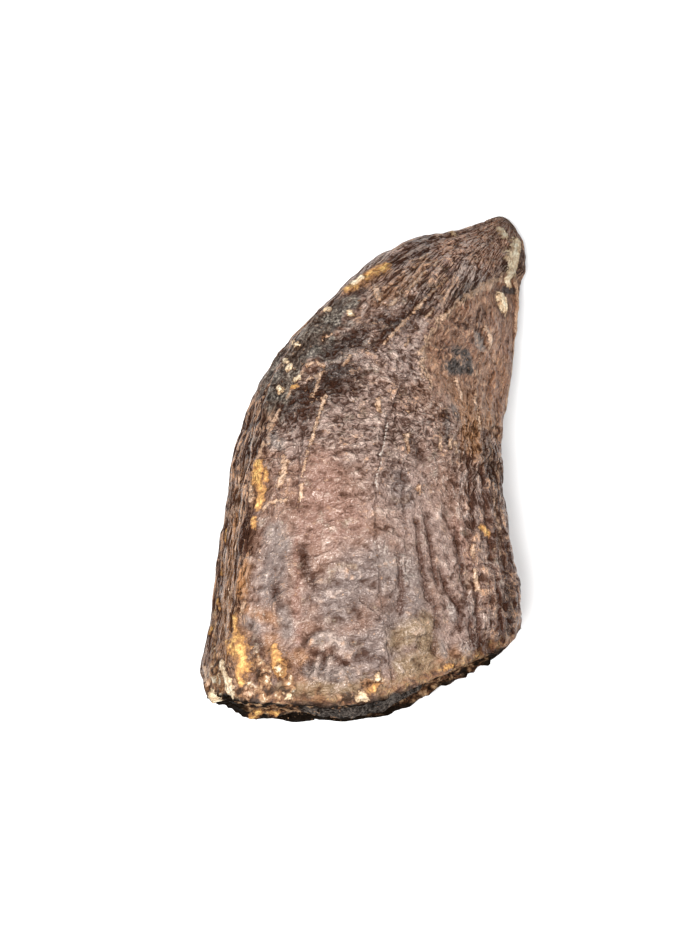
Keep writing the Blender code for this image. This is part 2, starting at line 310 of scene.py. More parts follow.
# ---- Rough mineral crust on the upper part of the front, and crumbs of matrix, mostly along the rim.
CRUST_PX = (
    (((326, 324), (308, 348)), 1.5), (((304, 346), (292, 364), (276, 394)), 1.4),
    (((330, 312), (350, 304)), 0.9), (((304, 318), (284, 346)), 1.2), (((278, 358), (262, 392)), 1.0),
)
CRUMBS_PX = (
    (((214, 660), (219, 680), (230, 697)), 1.2), (((224, 699), (236, 704), (248, 708)), 0.6),
    (((240, 680), (250, 690), (280, 694)), 0.8), (((257, 664), (266, 682)), 0.8),
    (((286, 676), (291, 686)), 0.6), (((284, 697), (292, 698)), 0.4), (((345, 698), (352, 697)), 0.35),
    (((216, 600), (213, 650)), 0.5), (((366, 688), (380, 680)), 0.6),
)

# ---- A hollow and a small crater beside the crust, and bumps on the side: places alone.
HOLLOW_PX = ((334, 344), (346, 340), (360, 335))
HOLLOW_WIDTH, HOLLOW_DEPTH = 0.8, 0.3
CRATER_PX = ((350, 301), (358, 299))
CRATER_RADIUS, CRATER_RIM, CRATER_HEIGHT = 0.35, 0.16, 0.16
BUMP_WIDTH, BUMP_HEIGHT = 0.5, 0.3
BUMPS_PX = (
    ((314, 640), (328, 638), (344, 645)), ((316, 672), (345, 674)),
    ((442, 645), (443, 652)), ((471, 640), (474, 650)), ((450, 602), (455, 620)), ((468, 606), (472, 622)),
    ((410, 585), (414, 600)), ((396, 560), (390, 590)), ((286, 614), (289, 634)), ((259, 612), (261, 624)),
)

# ---- Every mark that is made of strokes.
STROKES_PX = {
    "spots": DENTINE_SPOTS_PX, "ochre": OCHRE_PX, "cream": CREAM_PX, "tan": TAN_PX, "crust": CRUST_PX,
    "crumbs": CRUMBS_PX, "sparkle": SPARKLE_PX, "glint": (GLINT_PX,), "fold": FOLDS_PX, "furrow": FURROWS_PX,
    **STAINS_PX,
}

# ---- The skin's relief: its heights, the sizes of its lumps, and how far some marks and flakes rise.
STRIA_HEIGHT, WRINKLE_HEIGHT, PEBBLE_HEIGHT, FACET_HEIGHT, CRUST_GRAIN = 0.09, 0.05, 0.17, 0.07, 0.10
BROAD_LUMP, LUMP, SMALL_LUMP, CRUST_LUMP, TORN_LUMP = 0.16, 0.09, 0.07, 0.16, 0.22
FINE_STEP = 0.11  # the fine relief that counts as high in the colours
GROUND_CLEARANCE = 0.4  # nothing is carved where the tooth touches the ground
HEIGHTS = {"fold": 0.16, "furrow": -0.2, "carina": 0.10, "ledge": 0.15, "dentine": -0.18}
FLAKE_RISES = {"ochre": 0.13, "cream": 0.15, "tan": 0.06}

# ---- The skin's crinkles: how many fit in a millimetre across and along the grain, and how deep the creases
# between them are. First on the middle of the side, then for each mark where they change.
SKIN = ((1.75, 2.7), 0.12)
SKINS = (
    ("lengthwise", (2.8, 0.95), 0.18),
    ("side", (3.0, 0.7), 0.17),
    ("calm", (1.3, 1.9), 0.08),
    ("dentine", (2.2, 1.7), 0.10),
)
CREASE_SPACING, CREASE_WIDTH = 0.62, 0.07  # of the creases, set against the crests
RELIEF_HEIGHT = 1.1

# ---- Colours, as they are in plain light, but for the painted shade, highlights, glints and sheen.
# Painted shade in the creases and round the flakes, and painted highlights on the crests.
PAINTED_SHADE = (0.048, 0.020, 0.012, 1)
PAINTED_HIGHLIGHT = (0.60, 0.45, 0.37, 1)
WARM_PAINTED_HIGHLIGHT = (0.68, 0.37, 0.20, 1)
# Painted glints, along the main crack and in small specks.
GLINT = (0.70, 0.60, 0.52, 1)
# Painted shade along the cracks and grooves.
CRACK_SHADE = (0.085, 0.036, 0.023, 1)
ENAMEL = (0.235, 0.130, 0.090, 1)
UMBER = (0.070, 0.032, 0.021, 1)
FACET_BROWN = (0.088, 0.038, 0.018, 1)
DENTINE = (0.240, 0.118, 0.062, 1)
DENTINE_RED = (0.185, 0.078, 0.038, 1)
DENTINE_DEEP = (0.135, 0.058, 0.025, 1)
SPOT_GREY = (0.075, 0.062, 0.054, 1)
SPOT_DARK = (0.022, 0.018, 0.016, 1)
CRUST_GREY = (0.145, 0.122, 0.102, 1)
CRUST_PALE = (0.44, 0.38, 0.31, 1)
CRUST_DARK = (0.032, 0.024, 0.020, 1)
CRUMB_DARK = (0.040, 0.020, 0.010, 1)
TAN = (0.50, 0.32, 0.21, 1)
PALE_TAN = (0.68, 0.47, 0.33, 1)
RUST = (0.24, 0.115, 0.055, 1)
OCHRE = (0.50, 0.25, 0.085, 1)
YELLOW = (0.86, 0.56, 0.20, 1)
SAND = (0.46, 0.28, 0.15, 1)
CREAM = (0.80, 0.62, 0.41, 1)
IVORY = (1.0, 0.90, 0.70, 1)
# Near black: painted shade at the edge of the break, and the darkest torn dentine.
BREAK_BROWN = (0.008, 0.005, 0.003, 1)
BREAK_TAN = (0.46, 0.29, 0.16, 1)
STAIN_COLOURS = {
    "mid": (0.285, 0.192, 0.158, 1),
    "pale": (0.178, 0.134, 0.119, 1),
    "pink": (0.262, 0.140, 0.103, 1),
    "rust": (0.30, 0.145, 0.070, 1),
    "amber": (0.32, 0.145, 0.055, 1),
    # The next two are partly painted shade.
    "umber_and_shade": UMBER,
    "burnt_and_shade": (0.026, 0.012, 0.008, 1),
    # Painted sheen on the lumps.
    "lump_sheen": (0.235, 0.182, 0.160, 1),
    "tip": (0.50, 0.25, 0.155, 1),
    "grey": (0.160, 0.126, 0.110, 1),
    "olive": (0.245, 0.162, 0.088, 1),
}
SHEEN_TINT = (1.0, 0.90, 0.84, 1)

# ---- Mineral flakes: how ragged their edge is, and their colours from the edge to the middle.
FLAKES = (
    ("tan", 2.6, RUST, TAN, PALE_TAN),
    ("ochre", 1.6, RUST, OCHRE, YELLOW),
    ("cream", 1.6, SAND, CREAM, IVORY),
)

# ---- The studio, in metres: each light's name, place, size and power.
FLOOR_SIZE = 2.0
FLOOR_COLOUR = (0.92, 0.92, 0.92, 1)
SKY_STRENGTH = 0.38
LIGHTS = (("key", (-0.10, -0.14, 0.41), 0.18, 2.9), ("fill", (0.16, 0.22, 0.40), 0.3, 1.3))


def fade(value, start, end):
    """0 at the start, 1 at the end and smooth between them."""
    part = np.clip((value - start) / (end - start), 0.0, 1.0)
    return part * part * (3 - 2 * part)


def noise_at(places, size, seed=0.0):
    """Smooth noise of about -1 to 1, with features of that size (one length, or one for each axis)."""
    spots = places / np.asarray(size) + seed
    return 1.6 * np.array([noise.noise(spot) for spot in spots.tolist()])


def ridges_at(places, size, seed=0.0):
    """Noise folded over into narrow creases: 0 on most of the surface, down to -1 in a crease."""
    return fade(np.abs(noise_at(places, size, seed)), 0, 0.45) - 1


# -------------------- the viewpoint
def view_axes():
    forward = Vector((0, math.cos(ELEVATION), -math.sin(ELEVATION)))
    right = Vector((1, 0, 0))
    return right, right.cross(forward), forward


def add_camera():
    _, _, forward = view_axes()
    camera = bpy.data.cameras.new("photo_camera")
    camera.sensor_fit = "VERTICAL"
    camera.sensor_height = SENSOR
    camera.lens = SENSOR * DISTANCE / FRAMED_HEIGHT
    camera.clip_start = 0.01
    holder = bpy.data.objects.new("photo_camera", camera)
    holder.location = (AIM - forward * DISTANCE) * MM
    holder.rotation_euler = forward.to_track_quat("-Z", "Y").to_euler()
    bpy.context.scene.collection.objects.link(holder)
    bpy.context.scene.camera = holder


class Surface:
    """The tooth's solid, for finding where a place in the photograph lies on it."""

    def __init__(self, node):
        corners = [vertex.co / MM for vertex in node.data.vertices]
        self.tree = BVHTree.FromPolygons(corners, [face.vertices[:] for face in node.data.polygons])

    def under(self, pixel):
        right, up, forward = view_axes()
        across = (pixel[0] - PHOTO_WIDTH / 2) * PX
        down = (pixel[1] - PHOTO_HEIGHT / 2) * PX
        start = AIM - forward * DISTANCE
        toward = (forward * DISTANCE + right * across - up * down).normalized()
        hit = self.tree.ray_cast(start, toward)[0]
        return hit or start + toward * (AIM.z - start.z) / toward.z

    def path(self, pixels):
        return np.array([self.under(pixel) for pixel in pixels])


def offsets_from(places, start, end):
    """From the nearest point of a straight run to each place."""
    run = end - start
    share = np.clip((places - start) @ run / max(run @ run, 1e-9), 0, 1)
    return places - start - share[:, None] * run


def distance_to(places, path):
    """How far each place is from a line through the path's points."""
    nearest = np.full(len(places), np.inf)
    for start, end in zip(path, path[1:]):
        nearest = np.minimum(nearest, np.linalg.norm(offsets_from(places, start, end), axis=1))
    return nearest


def side_of(places, normals, path):
    """+1 to the left of the line that runs through the path's points, -1 to its right."""
    side = np.ones(len(places))
    nearest = np.full(len(places), np.inf)
    for start, end in zip(path, path[1:]):
        away = offsets_from(places, start, end)
        distance = np.linalg.norm(away, axis=1)
        closer = distance < nearest
        nearest[closer] = distance[closer]
        side[closer] = np.sign((np.cross(end - start, away[closer]) * normals[closer]).sum(1))
    return side


def depth_inside(x, y, outline):
    """How far each place is inside the outline, seen from above. It is negative outside."""
    inside = np.zeros(len(x), bool)
    nearest = np.full(len(x), np.inf)
    for (ax, ay), (bx, by) in zip(outline, np.roll(outline, -1, axis=0)):
        crosses = (ay > y) != (by > y)
        inside ^= crosses & (x < ax + (y - ay) / (by - ay + 1e-12) * (bx - ax))
        share = ((x - ax) * (bx - ax) + (y - ay) * (by - ay)) / ((bx - ax) ** 2 + (by - ay) ** 2)
        share = np.clip(share, 0, 1)
        nearest = np.minimum(nearest, np.hypot(x - ax - share * (bx - ax), y - ay - share * (by - ay)))
    return np.where(inside, nearest, -nearest)


# -------------------- the fine mesh
def draft_mesh(node):
    """The solid in quads where its triangles pair up, with its sharp edges marked."""
    shape = bmesh.new()
    shape.from_mesh(node.data)
    bmesh.ops.remove_doubles(shape, verts=shape.verts[:], dist=MERGE_DISTANCE)
    crease = shape.edges.layers.float.new("crease_edge")
    for edge in shape.edges:
        if len(edge.link_faces) == 2 and edge.calc_face_angle() > SHARP_ANGLE:
            edge[crease] = SHARPNESS
    bmesh.ops.join_triangles(
        shape, faces=shape.faces[:], angle_face_threshold=FLAT_ANGLE, angle_shape_threshold=SKEW_ANGLE
    )
    data = bpy.data.meshes.new("tooth_enamel")
    shape.to_mesh(data)
    shape.free()
    return data


def fine_copy(node):
    """The solid as a smooth, dense mesh."""
    draft = bpy.data.objects.new("draft", draft_mesh(node))
    bpy.context.scene.collection.objects.link(draft)
    finer = draft.modifiers.new("finer", "SUBSURF")
    finer.levels = finer.render_levels = 2
    graph = bpy.context.evaluated_depsgraph_get()
    dense = bpy.data.meshes.new_from_object(draft.evaluated_get(graph))
    bpy.data.objects.remove(draft)
    dense.name = "tooth_enamel"
    return dense


def read_vectors(items, name):
    values = np.empty(len(items) * 3, np.float32)
    items.foreach_get(name, values)
    return values.reshape(-1, 3).astype(float)


class Skin:
    """The dense mesh's points, with each one's place in the enamel's grain."""

    def __init__(self, mesh, surface):
        self.surface = surface
        self.places = read_vectors(mesh.vertices, "co") / MM
        self.normals = read_vectors(mesh.vertices, "normal")
        self.measure_grain()
        ragged = noise_at(self.places, 0.7, 3.1) + 0.5 * noise_at(self.places, 0.33, 8.2)
        self.ragged = 0.16 * ragged
        self.bark = noise_at(self.places, 0.55, 12.0) + 0.6 * noise_at(self.places, 0.3, 13.0)
        self.from_break = self.places[:, 1] - self.break_line()

    def measure_grain(self):
        """Each place's distance along the crown, its way round it, and how far it is on the upper side."""
        steps = np.linspace(0, len(RIBS) - 1, GRAIN_STEPS)
        columns = [[*front, *rear, middle, half] for front, rear, middle, half in RIBS]
        ribs = np.array([[np.interp(s, range(len(RIBS)), c) for c in zip(*columns)] for s in steps])
        x, y, z = self.places.T
        run_x, run_y = ribs[:, 2] - ribs[:, 0], ribs[:, 3] - ribs[:, 1]
        beyond = run_x * (y[:, None] - ribs[:, 1]) - run_y * (x[:, None] - ribs[:, 0])
        beyond /= np.hypot(run_x, run_y)
        at = np.clip((beyond > 0).sum(1) - 1, 0, GRAIN_STEPS - 2)
        row = np.arange(len(x))
        part = beyond[row, at] / (beyond[row, at] - beyond[row, at + 1] + 1e-9)
        rib = ribs[at] + np.clip(part, 0, 1)[:, None] * (ribs[at + 1] - ribs[at])
        run = rib[:, 2:4] - rib[:, 0:2]
        across = ((x - rib[:, 0]) * run[:, 0] + (y - rib[:, 1]) * run[:, 1]) / (run**2).sum(1)
        rise = (z - rib[:, 4]) / rib[:, 5]
        turn = np.arctan2(rise, 2 * across - 1)
        self.along = (at + np.clip(part, -60, 1)) * CROWN_LENGTH / (GRAIN_STEPS - 1)
        self.upper = fade(rise, -0.3, 0.2)
        around = np.abs(turn) / math.pi * HALF_GIRTH
        self.grain = np.stack([around, self.along, 3 * np.sin(turn)], axis=1)

    def break_line(self):
        """How far back the broken base reaches, at each place's distance across."""
        x, y, _ = self.places.T
        stops = np.arange(x.min(), x.max(), 0.5)
        ends = [y[np.abs(x - stop) < 0.5].min() for stop in stops]
        return np.interp(x, stops, ends)

    def soft_stroke(self, pixels, width):
        distance = distance_to(self.places, self.surface.path(pixels))
        return np.exp(-((distance / width) ** 2))

    def soft_strokes(self, marks):
        return np.max([self.soft_stroke(pixels, width) for pixels, width in marks], axis=0)

    def crease(self, pixels, width):
        """A narrow groove along a wandering line."""
        wander = self.places + 0.12 * noise_at(self.places, 0.8, 5.5)[:, None]
        distance = distance_to(wander, self.surface.path(pixels))
        return np.exp(-((distance / width) ** 2))

    def gap(self, lines):
        """The distance to the nearest of the lines, negative on its right side."""
        gap = np.full(len(self.places), np.inf)
        for pixels in lines:
            path = self.surface.path(pixels)
            distance = distance_to(self.places, path)
            signed = distance * side_of(self.places, self.normals, path)
            gap = np.where(distance < np.abs(gap), signed, gap)
        return gap

    def facet(self):
        """In front of the carina, from the broken base to where the crown narrows."""
        edge = self.surface.path(FACET_EDGE_PX)
        nearest = [np.argmin(((self.places - spot) ** 2).sum(1)) for spot in edge]
        around, along, _ = self.grain[nearest[::-1]].T
        ahead = self.grain[:, 0] - np.interp(self.along, along, around) + 2 * self.ragged
        return fade(ahead, -0.6, 0.6) * fade(self.along, 27, 21)

    def flaked(self):
        """How far each place is inside the flake, on the upper side alone."""
        outline = self.surface.path(FLAKE_PX)[:, :2]
        depth = depth_inside(self.places[:, 0], self.places[:, 1], outline) + 1.6 * self.ragged
        return depth * self.upper - (1 - self.upper)


# -------------------- the marks
def traced_marks(skin):
    """The marks that lie where the photograph shows them, from 0 to 1."""
    marks = {name: skin.soft_strokes(strokes) for name, strokes in STROKES_PX.items()}
    patchy = fade(1.5 * noise_at(skin.places, 1.6, 41.0), -0.6, 0.4)
    marks["tan"] = np.maximum(marks["tan"], skin.soft_strokes(STREAKS_PX) * patchy)
    marks["crust"] *= skin.upper
    cracks = (MAIN_CRACK_PX, *CRACKS_PX)
    marks["crack"] = np.max([skin.crease(line, CRACK_WIDTH) for line in cracks], axis=0)
    marks["groove"] = np.max([skin.crease(line, GROOVE_WIDTH) for line in GROOVES_PX], axis=0)
    marks["gap"] = np.clip(skin.gap((*cracks, *GROOVES_PX)), -1, 1)
    beads = noise_at(skin.places, 1.1, 51.0)
    marks["carina"] = skin.soft_stroke(CARINA_PX, CARINA_WIDTH) * fade(beads, -0.75, 0.25)
    return marks


def add_zones(skin, marks):
    """The bare dentine and its ledge, the facet, and where the skin is calm or runs lengthwise."""
    depth = skin.flaked()
    crown = fade(skin.along, 15, 21)
    marks["dentine"] = fade(depth, -0.15, 0.15) * crown
    marks["ledge"] = np.exp(-((depth + 0.1) ** 2) / 0.2**2) * crown
    marks["facet"] = skin.facet()
    # The facet and a strip along the rear edge, which turn away from the light; the enamel is darkened there
    # as painted shade.
    marks["side"] = np.maximum(marks["facet"], fade(skin.grain[:, 0], 6, 2))
    marks["calm"] = np.maximum(marks["calm"], 0.7 * fade(skin.along, 14, 6) * (1 - marks["facet"]))
    upwards = fade(skin.along, 19, 28)
    rear = fade(skin.grain[:, 0], 11, 6)
    marks["lengthwise"] = np.max([marks["facet"], upwards, rear, marks["dentine"], 1 - skin.upper], axis=0)


def add_break(skin, marks):
    """The broken base, its lip and the pulp in its middle, and the rim round it."""
    x, _, z = skin.places.T
    broken = fade(skin.from_break, 2.5, 2.0) * fade(-skin.normals[:, 1], 0.45, 0.65)
    rim = fade(skin.from_break - 3 * skin.ragged, 1.3, 0.5) * (1 - broken)
    below = broken * (1 - skin.upper)
    for name in ("cream", "tan", "crust"):
        marks[name] *= 1 - below
    marks["crumbs"] *= 1 - below * fade(x, -11, -9)
    (front, _), (back, _), middle, half = RIBS[0]
    out = np.hypot((2 * x - front - back) / (back - front), (z - middle) / half)
    marks["pulp"] = 1 + 0.4 * skin.ragged - out
    lip = broken * fade(x, 1, 6) * fade(marks["pulp"], 0.3, 0.15) * skin.upper
    marks["rim"] = np.maximum(rim, lip)
    marks["broken"] = broken - lip


def fine_relief(skin, marks, low):
    """The skin's wrinkles, pebbles, cracks and grooves, in millimetres."""
    grain, lengthwise = skin.grain, marks["lengthwise"]
    rear = fade(grain[:, 0], 13, 8) * skin.upper
    enamel = (1 - marks["dentine"]) * (1 - marks["broken"])
    striae = noise_at(grain, (0.8, 7.0, 2.0), 1.0) + 0.7 * noise_at(grain, (0.42, 4.0, 2.0), 2.0)
    wrinkles = noise_at(grain, (1.3, 0.6, 1.0), 4.0) + 0.8 * noise_at(grain, (0.7, 0.42, 1.0), 6.0)
    pebbles = ridges_at(grain, (0.9, 1.1, 1.0), 9.0)
    fine = enamel * STRIA_HEIGHT * striae * (0.3 + 0.7 * lengthwise)
    fine += enamel * WRINKLE_HEIGHT * wrinkles * (1 - 0.6 * lengthwise)
    fine += enamel * PEBBLE_HEIGHT * (pebbles + 0.4) * low * rear
    fine += marks["dentine"] * (0.03 * striae + 0.02 * skin.bark)
    fine += CRUST_GRAIN * skin.bark * np.max([marks["crust"], marks["crumbs"], 0.4 * marks["rim"]], axis=0)
    fine += marks["facet"] * FACET_HEIGHT * noise_at(grain, (0.5, 5.0, 2.0), 15.0)
    fine -= CRACK_DEPTH * marks["crack"] + GROOVE_DEPTH * marks["groove"]
    return fine * (1 - 0.55 * marks["calm"])


def lumps_of(skin, marks, low):
    """The broad lumps of the skin, the crust and the broken base, in millimetres."""
    lumps = BROAD_LUMP * noise_at(skin.grain, (2.6, 3.4, 3.0), 21.0) * skin.upper * low
    lumps += LUMP * noise_at(skin.grain, (1.3, 1.5, 2.0), 22.0) * skin.upper * low
    lumps += SMALL_LUMP * noise_at(skin.places, 1.0, 23.0) * (1 - marks["broken"])
    crusty = np.maximum(marks["crumbs"], marks["crust"])
    lumps += CRUST_LUMP * np.abs(noise_at(skin.places, 0.9, 24.0)) * crusty
    torn = noise_at(skin.places, 1.5, 31.0) + 0.6 * noise_at(skin.places, (0.9, 3.0, 0.5), 32.0)
    return lumps + marks["broken"] * (TORN_LUMP * torn + 0.12 * skin.bark)


def landmarks_of(skin, marks):
    """Single forms: the crack's lips, folds, bumps, hollow, crater, carina, ledge and flakes."""
    ring = distance_to(skin.places, skin.surface.path(CRATER_PX)) - CRATER_RADIUS
    relief = CRATER_HEIGHT * np.exp(-((ring / CRATER_RIM) ** 2))
    relief += LIP_HEIGHT * skin.soft_stroke(MAIN_CRACK_PX, LIP_WIDTH)
    relief -= HOLLOW_DEPTH * skin.soft_stroke(HOLLOW_PX, HOLLOW_WIDTH)
    relief += BUMP_HEIGHT * np.max([skin.soft_stroke(line, BUMP_WIDTH) for line in BUMPS_PX], axis=0)
    for name, height in HEIGHTS.items():
        relief += height * marks[name]
    for name, rise in FLAKE_RISES.items():
        relief += fade(marks[name], 0.35, 0.65) * (rise + 0.05 * skin.bark)
    return relief


def add_attribute(mesh, name, values):
    kind = "FLOAT" if values.ndim == 1 else "FLOAT_VECTOR"
    field = "value" if values.ndim == 1 else "vector"
    attribute = mesh.attributes.new(name, kind, "POINT")
    attribute.data.foreach_set(field, np.ascontiguousarray(values, np.float32).ravel())


def make_tooth(node):
    mesh = fine_copy(node)
    skin = Skin(mesh, Surface(node))
    marks = traced_marks(skin)
    add_zones(skin, marks)
    add_break(skin, marks)
    low = fade(skin.along, 22, 10)
    fine = fine_relief(skin, marks, low)
    lift = fine + lumps_of(skin, marks, low) + landmarks_of(skin, marks)
    lift *= fade(skin.places[:, 2], 0, GROUND_CLEARANCE)
    moved = (skin.places + skin.normals * lift[:, None]) * MM
    mesh.vertices.foreach_set("co", moved.astype(np.float32).ravel())
    add_attribute(mesh, "grain", skin.grain)
    marks["height"] = np.clip(fine / FINE_STEP, -1, 1)
    for name, values in marks.items():
        add_attribute(mesh, name, values)
    mesh.shade_smooth()
    mesh.materials.clear()
    mesh.materials.append(tooth_material(marks))
    tooth = bpy.data.objects.new("tooth_enamel", mesh)
    bpy.context.scene.collection.objects.link(tooth)
    return tooth


# -------------------- the materials
class Nodes:
    """Short ways to add and link shader nodes."""

    def __init__(self, material):
        material.use_nodes = True
        self.tree = material.node_tree
        self.shader = self.tree.nodes["Principled BSDF"]

    def add(self, kind):
        return self.tree.nodes.new("ShaderNode" + kind)

    def feed(self, socket, value):
        if isinstance(value, bpy.types.NodeSocket):
            self.tree.links.new(value, socket)
        else:
            socket.default_value = value

    def read(self, name):
        """The mesh's attribute of that name."""
        node = self.add("Attribute")
        node.attribute_name = name
        return node

    def maths(self, operation, *values):
        node = self.add("Math")
        node.operation = operation
        for socket, value in zip(node.inputs, values):
            self.feed(socket, value)
        return node.outputs[0]

    def times(self, first, second):
        return self.maths("MULTIPLY", first, second)

    def most(self, first, second):
        return self.maths("MAXIMUM", first, second)

    def minus(self, first, second):
        return self.maths("SUBTRACT", first, second)

    def plus(self, start, value, amount):
        """The start, and that amount of the value on top."""
        return self.maths("MULTIPLY_ADD", value, amount, start)

    def swing(self, start, value, amount):
        """The start, moved up or down by that amount of how far the value is from one half."""
        return self.plus(start, self.minus(value, 0.5), amount)

    def stretch(self, vector, scale):
        node = self.add("VectorMath")
        node.operation = "MULTIPLY"
        self.feed(node.inputs[0], vector)
        node.inputs[1].default_value = scale
        return node.outputs[0]

    def texture(self, vector, scale, detail, roughness=0.5, distortion=0.0):
        node = self.add("TexNoise")
        self.feed(node.inputs["Vector"], vector)
        node.inputs["Scale"].default_value = scale
        node.inputs["Detail"].default_value = detail
        node.inputs["Roughness"].default_value = roughness
        node.inputs["Distortion"].default_value = distortion
        return node.outputs

    def noise(self, *settings):
        return self.texture(*settings)["Fac"]

    def bend(self, vector, places, scale, reach):
        """The vector moved about by smooth noise."""
        shift = self.add("VectorMath")
        shift.operation = "MULTIPLY_ADD"
        self.feed(shift.inputs[0], self.texture(places, scale, 2.0)["Color"])
        shift.inputs[1].default_value = (reach,) * 3
        self.feed(shift.inputs[2], vector)
        return shift.outputs[0]

    def between(self, value, low, high):
        """0 at low, 1 at high."""
        node = self.add("MapRange")
        node.interpolation_type = "SMOOTHSTEP"
        self.feed(node.inputs["Value"], value)
        node.inputs["From Min"].default_value = low
        node.inputs["From Max"].default_value = high
        return node.outputs["Result"]

    def mix(self, amount, first, second):
        node = self.add("Mix")
        node.data_type = "RGBA"
        self.feed(node.inputs[0], amount)
        self.feed(node.inputs[6], first)
        self.feed(node.inputs[7], second)
        return node.outputs[2]

    def ramp(self, value, *stops):
        node = self.add("ValToRGB")
        self.feed(node.inputs[0], value)
        elements = node.color_ramp.elements
        while len(elements) < len(stops):
            elements.new(0.5)
        for element, (place, colour) in zip(elements, stops):
            element.position = place
            element.color = colour
        return node.outputs[0]


class Look(Nodes):
    """The tooth's marks and noises, which its colours and its relief are mixed from."""

    def __init__(self, material, names):
        super().__init__(material)
        place = self.add("TexCoord").outputs["Object"]
        spots = self.stretch(place, (1 / MM,) * 3)
        grain = self.read("grain").outputs["Vector"]
        self.mark = {name: self.read(name).outputs["Fac"] for name in names}
        self.grit = self.noise(spots, 4.2, 2.0, 0.6)
        self.speck = self.noise(spots, 3.0, 3.0, 0.65)
        self.cloud = self.noise(spots, 0.28, 3.0, 0.55)
        self.blotch = self.noise(spots, 0.75, 3.0, 0.6)
        along = self.stretch(self.bend(grain, spots, 0.8, 0.6), (1.5, 0.16, 0.5))
        self.bands = self.noise(along, 1.0, 3.0, 0.6)
        self.lumpy = self.swing(0.45, self.noise(spots, 1.6, 3.0, 0.6, 0.4), 3.0)
        self.crusty = self.swing(0.5, self.swing(self.grit, self.blotch, 0.6), 2.6)
        self.warmth = self.find_warmth(spots)
        self.weave = self.find_weave(grain, spots)
        self.share = self.find_share()
        self.level = self.find_level()

    def find_warmth(self, spots):
        """Where the painted highlight on the crests is orange rather than grey, and the crust is browner."""
        warmth = self.noise(spots, 0.5, 3.0, 0.6, 0.5)
        warmth = self.plus(warmth, self.mark["lengthwise"], 0.1)
        warmth = self.plus(warmth, self.mark["side"], 0.08)
        return self.between(warmth, 0.5, 0.66)

    def crinkle(self, places, stretch, creased):
        """Low crests between thin wandering creases: about 0.5, less in a crease."""
        crests = self.noise(self.stretch(places, (*stretch, 1.0)), 1.0, 2.5, 0.55, 0.5)
        wider = (*(CREASE_SPACING * size for size in stretch), 1.7)
        creases = self.noise(self.stretch(places, wider), 1.0, 2.0, 0.5, 0.9)
        creases = self.between(self.maths("ABSOLUTE", self.minus(creases, 0.5)), CREASE_WIDTH, 0.0)
        return self.plus(self.swing(0.5 + 0.2 * creased, crests, 0.8), creases, -creased)

    def find_weave(self, grain, spots):
        """The enamel's crinkled skin, from 0 in its creases to 1 on its crests."""
        bent = self.bend(grain, spots, 1.8, 0.45)
        folds = self.stretch(self.bend(grain, spots, 0.9, 0.9), (0.85, 1.15, 1.0))
        weave = self.crinkle(bent, *SKIN)
        for name, stretch, creased in SKINS:
            other = self.crinkle(bent, stretch, creased)
            weave = self.plus(weave, self.minus(other, weave), self.mark[name])
        return self.swing(weave, self.noise(folds, 1.0, 3.0, 0.5, 0.6), 0.52)

    def find_share(self):
        """How strong the fine relief is."""
        share = 1.0
        for name, amount in (("calm", -0.45), ("lengthwise", 0.5), ("umber_and_shade", 0.35), ("dentine", -0.8)):
            share = self.plus(share, self.mark[name], amount)
        return share

    def find_level(self):
        """How high each point stands in the fine relief, as the painted shade and highlight see it: 0.5 is
        halfway up.
        """
        level = self.times(self.minus(self.weave, 0.5), 3.0)
        level = self.swing(level, self.grit, 0.25)
        level = self.plus(level, self.mark["height"], 0.15)
        level = self.plus(0.5, level, self.share)
        # Painted highlight on the folds' ridges and painted shade in the furrows beside them.
        level = self.plus(level, self.mark["fold"], 0.38)
        return self.plus(level, self.mark["furrow"], -0.45)

    def shaded(self, colour, pale, crest):
        """The colour, with painted shade in the creases and a painted highlight on the crests, of that
        strength (pale) and colour (crest).
        """
        colour = self.mix(self.times(self.between(self.level, 0.52, 0.02), 0.82), colour, PAINTED_SHADE)
        return self.mix(self.times(self.between(self.level, 0.5, 1.02), pale), colour, crest)


def crack_lines(look):
    """Thin dark lines of painted shade where the skin is cracked, and painted glints: a highlight along the
    main crack's edge and small bright specks elsewhere.
    """
    mark = look.mark
    wander = look.swing(look.swing(mark["gap"], look.blotch, 0.8), look.grit, 0.35)
    width = look.times(look.plus(0.06, mark["groove"], 0.12), look.between(look.blotch, 0.3, 0.65))
    away = look.minus(look.maths("ABSOLUTE", wander), width)
    near = look.most(mark["crack"], mark["groove"])
    line = look.times(look.between(away, 0.13, -0.05), look.between(near, 0.1, 0.5))
    line = look.times(line, look.plus(1.0, mark["calm"], -0.6))
    beside = look.maths("ABSOLUTE", look.minus(wander, 0.12))
    glint = look.times(look.between(beside, 0.09, 0.03), look.between(mark["glint"], 0.2, 0.6))
    glint = look.times(glint, look.between(look.grit, 0.4, 0.6))
    sparkle = look.times(look.between(mark["sparkle"], 0.2, 0.8), look.between(look.grit, 0.5, 0.66))
    return line, look.most(glint, look.times(sparkle, 0.35))


def streaked(look, colour):
    """Dark and pale bands along the grain, where the skin runs lengthwise."""
    lengthwise = look.mark["lengthwise"]
    dark = look.times(look.between(look.bands, 0.52, 0.64), lengthwise)
    colour = look.mix(look.times(dark, 0.6), colour, UMBER)
    pale = look.times(look.between(look.bands, 0.44, 0.32), lengthwise)
    pale = look.times(pale, look.between(look.blotch, 0.4, 0.58))
    return look.mix(look.times(pale, 0.7), colour, TAN)


